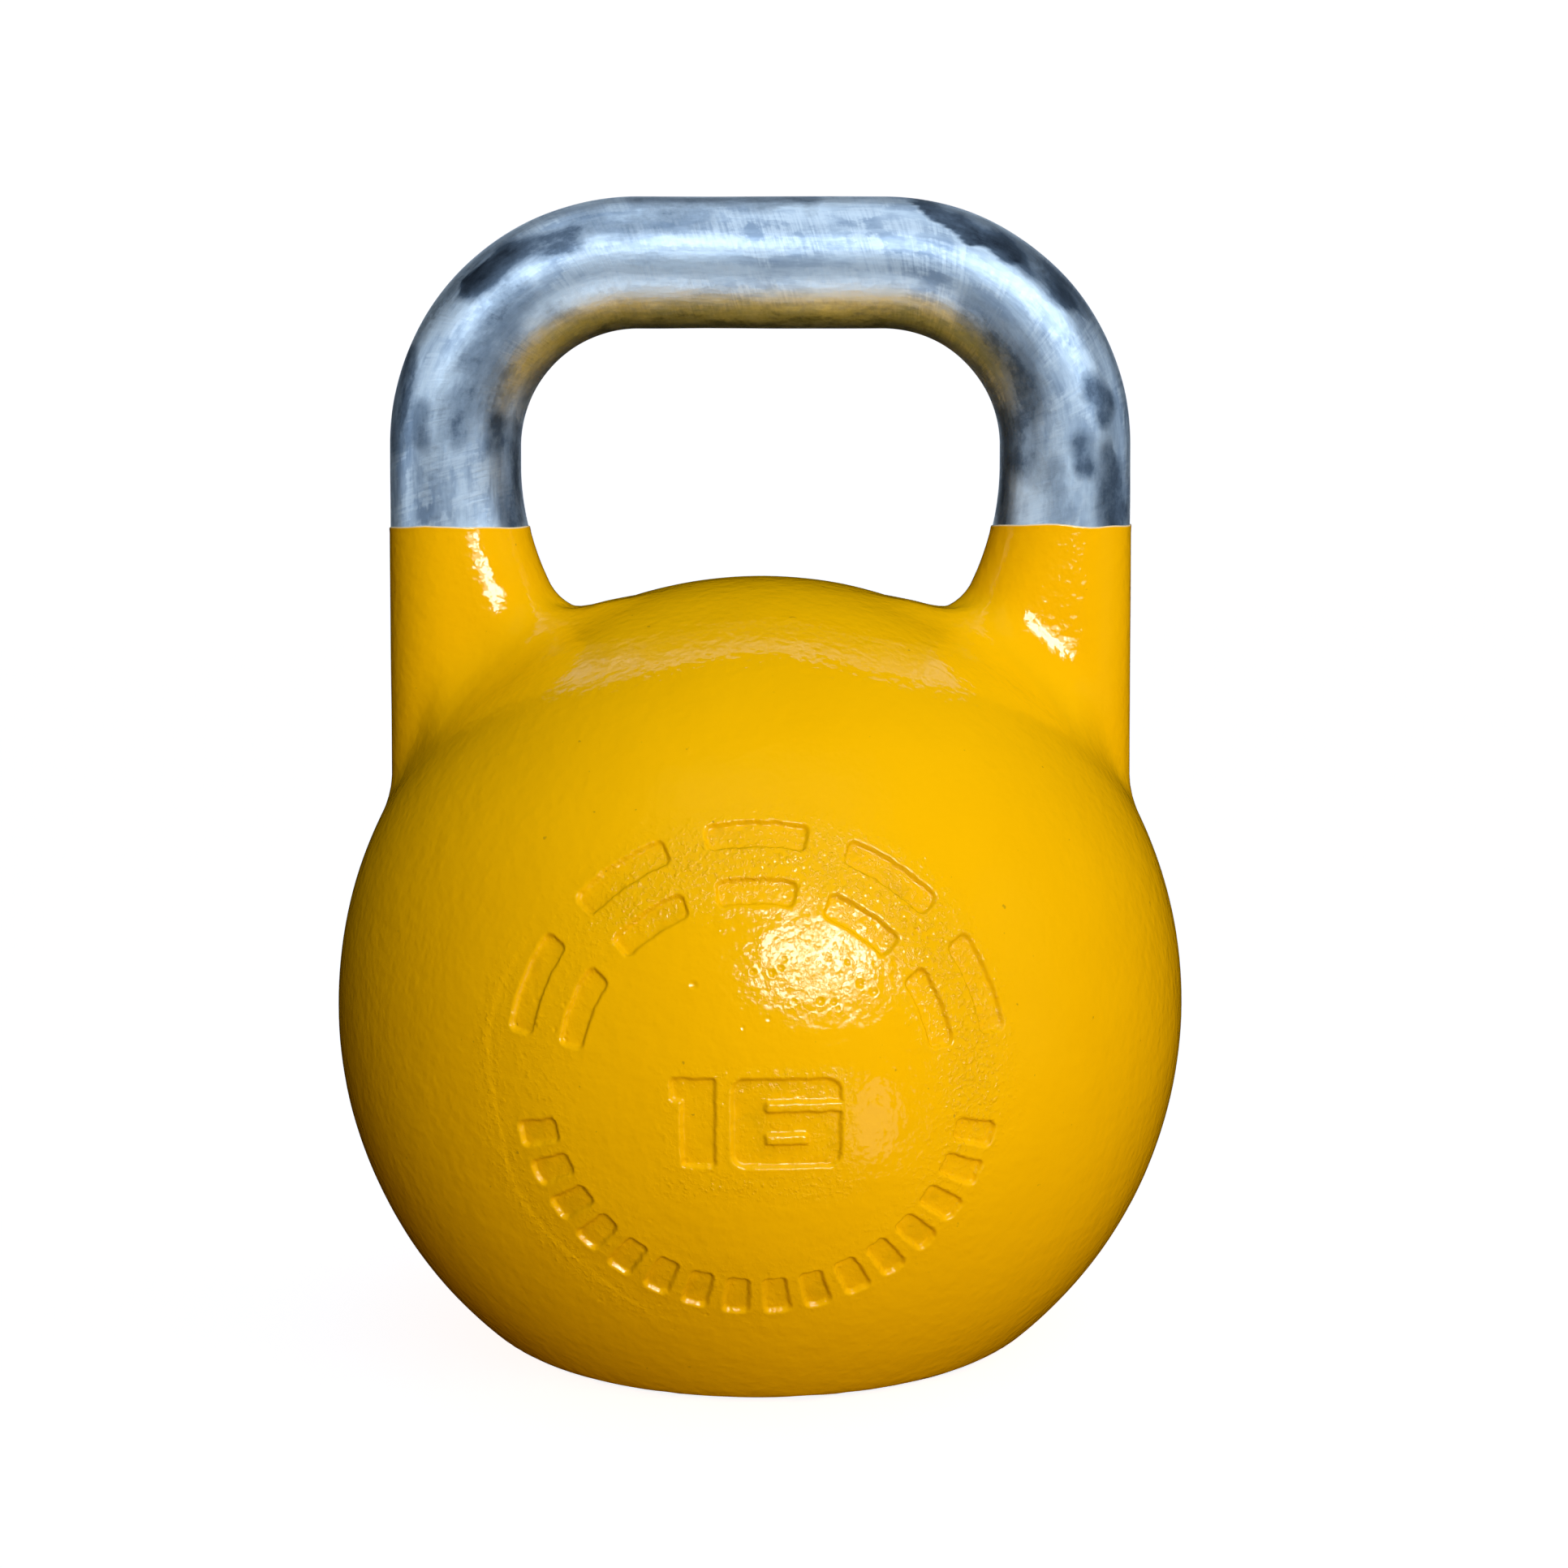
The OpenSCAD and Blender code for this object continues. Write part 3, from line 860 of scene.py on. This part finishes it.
class Net:
    """A node tree, with short ways to add to it. Each returns a socket."""

    def __init__(self, tree):
        self.nodes, self.link = tree.nodes, tree.links.new

    def place(self):
        return self.nodes.new("ShaderNodeTexCoord").outputs["Object"]

    def value(self, name, kind="Fac"):
        """A number or a vector that the mesh carries at each vertex."""
        n = self.nodes.new("ShaderNodeAttribute")
        n.attribute_name = name
        return n.outputs[kind]

    def noise(self, at, scale, detail=3.0, rough=0.5, stretch=None):
        """A noise texture's factor. scale is in lumps per metre."""
        if stretch:
            bend = self.nodes.new("ShaderNodeMapping")
            bend.inputs["Scale"].default_value = stretch
            self.link(at, bend.inputs["Vector"])
            at = bend.outputs[0]
        n = self.nodes.new("ShaderNodeTexNoise")
        n.inputs["Scale"].default_value = scale
        n.inputs["Detail"].default_value = detail
        n.inputs["Roughness"].default_value = rough
        self.link(at, n.inputs["Vector"])
        return n.outputs["Fac"]

    def cells(self, at, scale):
        """Distance to the nearest of many scattered points."""
        n = self.nodes.new("ShaderNodeTexVoronoi")
        n.inputs["Scale"].default_value = scale
        self.link(at, n.inputs["Vector"])
        return n.outputs["Distance"]

    def remap(self, value, *ends):
        """The value carried from one range to another: from low, from high, to low, to high."""
        n = self.nodes.new("ShaderNodeMapRange")
        n.clamp = True
        self.link(value, n.inputs["Value"])
        for name, v in zip(("From Min", "From Max", "To Min", "To Max"), ends):
            n.inputs[name].default_value = v
        return n.outputs["Result"]

    def maths(self, how, a, b):
        n = self.nodes.new("ShaderNodeMath")
        n.operation = how
        for socket, v in zip(n.inputs, (a, b)):
            if isinstance(v, (int, float)):
                socket.default_value = v
            else:
                self.link(v, socket)
        return n.outputs[0]

    def blend(self, factor, a, b):
        """Colour a where the factor is 0, and b where it is 1."""
        n = self.nodes.new("ShaderNodeMix")
        n.data_type = "RGBA"
        self.link(factor, n.inputs["Factor"])
        for socket, v in ((n.inputs["A"], a), (n.inputs["B"], b)):
            if isinstance(v, tuple):
                socket.default_value = (*v, 1)
            else:
                self.link(v, socket)
        return n.outputs["Result"]

    def bump(self, height, strength, distance, under=None):
        n = self.nodes.new("ShaderNodeBump")
        n.inputs["Strength"].default_value = strength
        n.inputs["Distance"].default_value = distance
        self.link(height, n.inputs["Height"])
        if under:
            self.link(under, n.inputs["Normal"])
        return n.outputs[0]


def new_material(name):
    """(material, its node tree's Net, the Principled shader)."""
    mat = bpy.data.materials.new(name)
    mat.use_nodes = True
    net = Net(mat.node_tree)
    return mat, net, next(n for n in net.nodes if n.type == "BSDF_PRINCIPLED")


ENAMEL_DEEP, ENAMEL_LIGHT = (0.83, 0.435, 0.0003), (0.90, 0.48, 0.0005)
# The first colour here is painted shade for the marks' recesses.
ENAMEL_RECESS_SHADE, ENAMEL_SPECK = (0.52, 0.28, 0.002), (0.30, 0.17, 0.01)
# A painted highlight for the paint's upper edge.
LIP_HIGHLIGHT = (0.86, 0.78, 0.55)
# The steel colours are tinted blue as a painted reflection of cool daylight.
STEEL_LIGHT, STEEL_DULL, STEEL_SCRATCH = (0.82, 0.91, 1.0), (0.38, 0.47, 0.60), (0.86, 0.93, 1.0)
# Slate and black for the cast skin, also used as painted shade inside the loop and at the base edge.
SLATE_SKIN_AND_SHADE, BLACK_SKIN_AND_SHADE = (0.20, 0.26, 0.345), (0.030, 0.040, 0.058)


def enamel_material():
    """Thick, glossy yellow enamel with orange peel, cast grain near the marks, dull specks, painted
    shade in the marks' recesses and a painted highlight along the paint's upper edge.
    """
    mat, net, shader = new_material("yellow_enamel")
    at = net.place()
    broad = net.noise(at, 14, 3, 0.55)
    fine = net.noise(at, 160, 4, 0.6)
    rough = net.value("rough")
    sunk = net.value("sunk")
    tone = net.remap(broad, 0.3, 0.7, 0, 1)
    colour = net.blend(tone, ENAMEL_DEEP, ENAMEL_LIGHT)
    # Painted shade: the enamel is darkened in the marks' recesses.
    recess_shade = net.maths("MULTIPLY", sunk, net.remap(fine, 0.5, 0.75, 0.0, 0.35))
    colour = net.blend(recess_shade, colour, ENAMEL_RECESS_SHADE)
    speck = net.remap(net.noise(at, 420, 2, 0.5), 0.755, 0.79, 0, 0.5)
    colour = net.blend(speck, colour, ENAMEL_SPECK)
    # Painted highlight: the paint's upper edge is coloured pale.
    colour = net.blend(net.maths("MULTIPLY", net.value("brim_highlight"), 0.75),
                          colour, LIP_HIGHLIGHT)
    net.link(colour, shader.inputs["Base Color"])
    gloss = net.remap(broad, 0.3, 0.7, 0.05, 0.09)
    gloss = net.maths("ADD", gloss, net.maths("MULTIPLY", rough, 0.03))
    net.link(gloss, shader.inputs["Roughness"])
    shader.inputs["IOR"].default_value = 1.5
    shader.inputs["Specular Tint"].default_value = (1.0, 0.97, 0.88, 1)
    peel = net.noise(at, 360, 2, 0.5)
    grain = net.noise(at, 900, 3, 0.6)
    cells = net.cells(at, 620)
    grain = net.remap(grain, 0.5, 0.7, 0, 1)
    beads = net.remap(cells, 0.1, 0.4, 0.6, 0)
    lumps = net.maths("ADD", grain, beads)
    masked = net.maths("MULTIPLY", lumps, rough)
    wave = net.bump(net.noise(at, 90, 3, 0.55), 0.3, 0.0008)
    skin = net.bump(peel, 0.45, 0.00035, wave)
    cast = net.bump(masked, 1.0, 0.00022, skin)
    net.link(cast, shader.inputs["Normal"])
    return mat


def steel_material():
    """Ground steel: light where the wheel has cut, slate where it skipped, with fine scratches; the
    slate and black also carry painted shade inside the loop and at the base edge.
    """
    mat, net, shader = new_material("ground_steel")
    at = net.place()
    lay = net.value("lay", "Vector")
    # skin is the dark cast skin together with painted shade inside the loop and at the base edge.
    skin = net.value("skin")
    smear = net.noise(lay, 95, 4, 0.62, (0.26, 1.0, 1.0))
    cloud = net.noise(at, 40, 5, 0.62)
    blotch = net.noise(lay, 210, 4, 0.62, (0.6, 1.0, 1.0))
    fine = net.noise(at, 800, 4, 0.7)
    broken = net.maths("ADD", skin, net.maths("MULTIPLY", blotch, 1.0))
    broken = net.maths("ADD", broken, net.maths("MULTIPLY", fine, 0.25))
    black = net.remap(broken, 1.28, 1.95, 0, 1)
    slate = net.remap(broken, 0.80, 1.45, 0, 1)
    streak = net.noise(lay, 420, 3, 0.65, (0.16, 1.0, 1.0))
    mixed = net.maths("ADD", net.maths("ADD", smear, cloud),
                  net.maths("MULTIPLY", streak, 0.45))
    soft = net.remap(mixed, 1.06, 1.40, 0, 1)
    light = net.blend(soft, STEEL_LIGHT, STEEL_DULL)
    across = net.noise(lay, 1400, 2, 0.5, (1.0, 0.07, 0.07))
    along = net.noise(lay, 1400, 2, 0.5, (0.06, 1.0, 1.0))
    patchy = net.remap(blotch, 0.40, 0.56, 0.25, 1)
    lines = net.maths("ADD", net.maths("MULTIPLY", across, patchy),
                  net.maths("MULTIPLY", along, 0.35))
    shine = net.remap(lines, 0.40, 0.72, 0, 0.75)
    light = net.blend(shine, light, STEEL_SCRATCH)
    light = net.blend(slate, light, SLATE_SKIN_AND_SHADE)
    colour = net.blend(black, light, BLACK_SKIN_AND_SHADE)
    net.link(colour, shader.inputs["Base Color"])
    shader.inputs["Metallic"].default_value = 1.0
    dull = net.remap(fine, 0.3, 0.7, 0.38, 0.52)
    net.link(dull, shader.inputs["Roughness"])
    low = net.bump(smear, 0.35, 0.0009)
    grit = net.bump(fine, 0.2, 0.00012, low)
    net.link(net.bump(lines, 0.3, 0.0001, grit), shader.inputs["Normal"])
    return mat


def plug_material():
    """Turned steel, oiled black, with rings left by the tool."""
    mat, net, shader = new_material("plug_steel")
    at = net.place()
    rings = net.nodes.new("ShaderNodeTexWave")
    rings.wave_type = "RINGS"
    rings.rings_direction = "Z"
    rings.inputs["Scale"].default_value = 900
    rings.inputs["Distortion"].default_value = 1.0
    net.link(at, rings.inputs["Vector"])
    cloud = net.noise(at, 120, 4, 0.6)
    colour = net.blend(net.remap(cloud, 0.35, 0.7, 0, 1),
                          (0.22, 0.23, 0.25), (0.09, 0.09, 0.10))
    net.link(colour, shader.inputs["Base Color"])
    shader.inputs["Metallic"].default_value = 1.0
    net.link(net.remap(cloud, 0.3, 0.7, 0.28, 0.45), shader.inputs["Roughness"])
    net.link(net.bump(rings.outputs["Fac"], 0.25, 0.00008), shader.inputs["Normal"])
    return mat


def rubber_material():
    mat, net, shader = new_material("washer_rubber")
    at = net.place()
    dust = net.noise(at, 300, 4, 0.6)
    colour = net.blend(net.remap(dust, 0.45, 0.75, 0, 1),
                          (0.018, 0.018, 0.019), (0.07, 0.068, 0.065))
    net.link(colour, shader.inputs["Base Color"])
    net.link(net.remap(dust, 0.3, 0.7, 0.6, 0.8), shader.inputs["Roughness"])
    net.link(net.bump(dust, 0.3, 0.0002), shader.inputs["Normal"])
    return mat


def shot_material():
    """Round iron shot packed in dark resin."""
    mat, net, shader = new_material("iron_shot")
    at = net.place()
    shot = net.cells(at, 340)
    edge = net.remap(shot, 0.25, 0.6, 0, 1)
    colour = net.blend(edge, (0.30, 0.28, 0.26), (0.03, 0.028, 0.026))
    net.link(colour, shader.inputs["Base Color"])
    net.link(net.remap(edge, 0, 1, 0.9, 0.0), shader.inputs["Metallic"])
    net.link(net.remap(edge, 0, 1, 0.38, 0.6), shader.inputs["Roughness"])
    net.link(net.bump(net.maths("SUBTRACT", 1.0, edge), 1.0, 0.0012), shader.inputs["Normal"])
    return mat


def foam_material():
    """Rigid foam with small open cells."""
    mat, net, shader = new_material("packing_foam")
    at = net.place()
    cells = net.cells(at, 520)
    depth = net.remap(cells, 0.1, 0.6, 0, 1)
    tint = net.noise(at, 30, 4, 0.6)
    wall = net.blend(tint, (0.62, 0.50, 0.28), (0.74, 0.63, 0.40))
    # Painted shade: the cells' pits are coloured darker than their walls.
    colour = net.blend(depth, (0.36, 0.27, 0.13), wall)
    net.link(colour, shader.inputs["Base Color"])
    net.link(net.remap(depth, 0, 1, 0.95, 0.8), shader.inputs["Roughness"])
    net.link(net.bump(depth, 0.8, 0.0008), shader.inputs["Normal"])
    return mat


# ------------------------------ stage

STAGE_R, STAGE_BEND, STAGE_H = 5.0, 1.5, 5.0      # metres
FLOOR_DROP = 0.2                       # keeps the floor's face off the base's
FLOOR_GLOW = 0.9
CAMERA_X, CAMERA_BACK, CAMERA_RISE = 5.9, 611.8, 0.9      # the rise is above the masked line
CAMERA_DOWN = 3.27                     # degrees
SENSOR, LENS, LENS_SHIFT = 36, 56.1, -0.078
ROUND_BELOW = 0.5                      # a softbox narrower than this is round


def make_camera():
    """Level with the masked line, about 0.6 m in front of the handle, looking a little down."""
    data = bpy.data.cameras.new("camera")
    cam = bpy.data.objects.new("camera", data)
    scene.collection.objects.link(cam)
    cam.location = (CAMERA_X * MM, -CAMERA_BACK * MM, (PAINT_Z + CAMERA_RISE) * MM)
    cam.rotation_euler = (math.radians(90 - CAMERA_DOWN), 0, 0)
    data.sensor_width = SENSOR
    data.lens = LENS
    data.shift_y = LENS_SHIFT
    data.clip_start = 0.01
    data.clip_end = 50
    scene.camera = cam


def area_light(name, azimuth, elevation, distance, wide, high, power, colour):
    """A softbox that faces the ball. Azimuth 0 is in front of the marks, and positive to the right."""
    data = bpy.data.lights.new(name, "AREA")
    data.shape = "ELLIPSE" if wide < ROUND_BELOW else "RECTANGLE"
    data.size, data.size_y = wide, high
    data.energy = power
    data.color = colour
    obj = bpy.data.objects.new(name, data)
    scene.collection.objects.link(obj)
    a, e = math.radians(azimuth), math.radians(elevation)
    way = Vector((math.sin(a) * math.cos(e), -math.cos(a) * math.cos(e), math.sin(e)))
    obj.location = Vector((0, 0, BALL_Z * MM)) + way * distance
    obj.rotation_mode = "QUATERNION"
    obj.rotation_quaternion = way.to_track_quat("Z", "Y")
    return obj


def shine_on(light, *pieces):
    """Lets a light reach these pieces only, as a flag in a studio keeps it off the rest."""
    group = bpy.data.collections.new(light.name + "_reach")
    for piece in pieces:
        group.objects.link(piece)
    light.light_linking.receiver_collection = group


def make_stage():
    """A pale floor that curves up into a wall, partly self-lit, and throws no light on the object."""
    points = []
    sides = 64
    rows = [(r, 0) for r in (0.4, 1.2, STAGE_R - STAGE_BEND)]
    rows += [
        (STAGE_R - STAGE_BEND * (1 - math.sin(a)), STAGE_BEND * (1 - math.cos(a)))
        for a in np.linspace(0.1, math.pi / 2, 14)
    ]
    rows += [(STAGE_R, STAGE_H)]
    for r, z in rows:
        points += [
            (r * math.cos(t), r * math.sin(t), z)
            for t in np.linspace(0, 2 * math.pi, sides, endpoint=False)
        ]
    faces = ring_quads(0, len(rows), sides) + [list(range(sides))]
    floor = mesh_object("floor", np.array(points) / MM + (0, 0, BASE_Z - FLOOR_DROP), faces)
    mat, _, shader = new_material("pale_floor")
    shader.inputs["Base Color"].default_value = (0.8, 0.8, 0.8, 1)
    shader.inputs["Roughness"].default_value = 0.9
    shader.inputs["Specular IOR Level"].default_value = 0.0
    shader.inputs["Emission Color"].default_value = (1, 1, 1, 1)
    shader.inputs["Emission Strength"].default_value = FLOOR_GLOW
    floor.data.materials.append(mat)
    floor.visible_glossy = False
    floor.visible_diffuse = False
    floor.visible_shadow = False


def make_world():
    """Cool light from above and warm from below, kept out of the gloss."""
    world = bpy.data.worlds.new("studio")
    scene.world = world
    world.use_nodes = True
    net = Net(world.node_tree)
    way = net.nodes.new("ShaderNodeSeparateXYZ")
    net.link(net.nodes.new("ShaderNodeTexCoord").outputs["Generated"], way.inputs[0])
    up = net.remap(way.outputs["Z"], -0.3, 0.5, 0, 1)
    colour = net.blend(up, (0.46, 0.27, 0.11), (0.20, 0.28, 0.40))
    net.link(colour, net.nodes["Background"].inputs["Color"])
    side = net.remap(way.outputs["X"], -0.8, 0.6, 0.35, 0.8)
    net.link(side, net.nodes["Background"].inputs["Strength"])
    world.cycles_visibility.glossy = False
    scene.view_settings.view_transform = "Standard"


# ------------------------------ the kettlebell

make_camera()
make_stage()
make_world()
shell = shell_mesh(NET_STEP)
enamel = make_enamel(shell)
casting = make_casting(shell)
shell.free()
plug = make_plug()
washer = make_washer()

for piece, material, slot_name, nodes_ in (
    (enamel, enamel_material(), "yellow_enamel", ["enamel_coat"]),
    (casting, steel_material(), "ground_steel", ["bell_casting"]),
    (plug, plug_material(), "plug_steel", ["base_plug"]),
    (washer, rubber_material(), "washer_rubber", ["plug_washer"]),
):
    piece.data.materials.append(material)
    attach(piece, "root")
    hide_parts(*nodes_)

for node_name, material in (("shot_ballast", shot_material()), ("foam_packing", foam_material())):
    node = frame["nodes"][node_name]
    if not node.material_slots:
        node.data.materials.append(material)
    for slot in node.material_slots:
        slot.material = material

DAY, COOL, WARM = (1.0, 0.98, 0.97), (0.72, 0.86, 1.0), (1.0, 0.95, 0.88)
# name, azimuth, elevation, distance, width, height, power, colour, seen in the gloss
for name, *place, colour, mirrored in (
    ("window", 7, 18, 1.6, 0.36, 0.36, 6.0, DAY, True),
    ("window_pane", 20, 17, 1.6, 0.5, 0.6, 4.6, DAY, True),
    ("window_core", 21, 18, 1.6, 0.34, 0.44, 6.4, DAY, True),
    ("low_patch", 29, -20, 1.6, 0.40, 0.55, 0.5, DAY, True),
    ("sky", 5, 60, 1.7, 1.6, 0.7, 7.8, (0.90, 0.95, 1.0), False),
    ("right_fill", 70, 8, 1.8, 0.8, 1.3, 4.4, WARM, False),
    ("back_sky", 200, 50, 1.8, 0.7, 0.5, 7.0, DAY, False),
    ("back_fill", 170, 5, 1.8, 1.6, 1.2, 8.0, WARM, False),
):
    light = area_light(name, *place, colour)
    light.visible_glossy = mirrored
    shine_on(light, enamel)
for name, *place in (
    ("band", 4, 34, 1.6, 2.4, 0.65, 13.0),
    ("band_right", 52, 26, 1.6, 0.8, 0.8, 4.0),
    ("band_left", -48, 26, 1.6, 0.6, 0.8, 2.4),
    ("front", 8, 6, 1.8, 1.5, 1.2, 2.4),
    ("low_front", 0, -38, 1.6, 1.6, 0.6, 6.0),
    ("cool_left", -84, 10, 1.6, 0.8, 1.4, 4.2),
    ("cool_right", 105, 10, 1.6, 0.8, 1.4, 3.0),
    ("overhead", 0, 86, 1.6, 1.8, 1.6, 10.0),
    ("behind", 180, 20, 1.8, 1.8, 1.2, 5.0),
):
    shine_on(area_light(name, *place, COOL), casting, plug, washer)
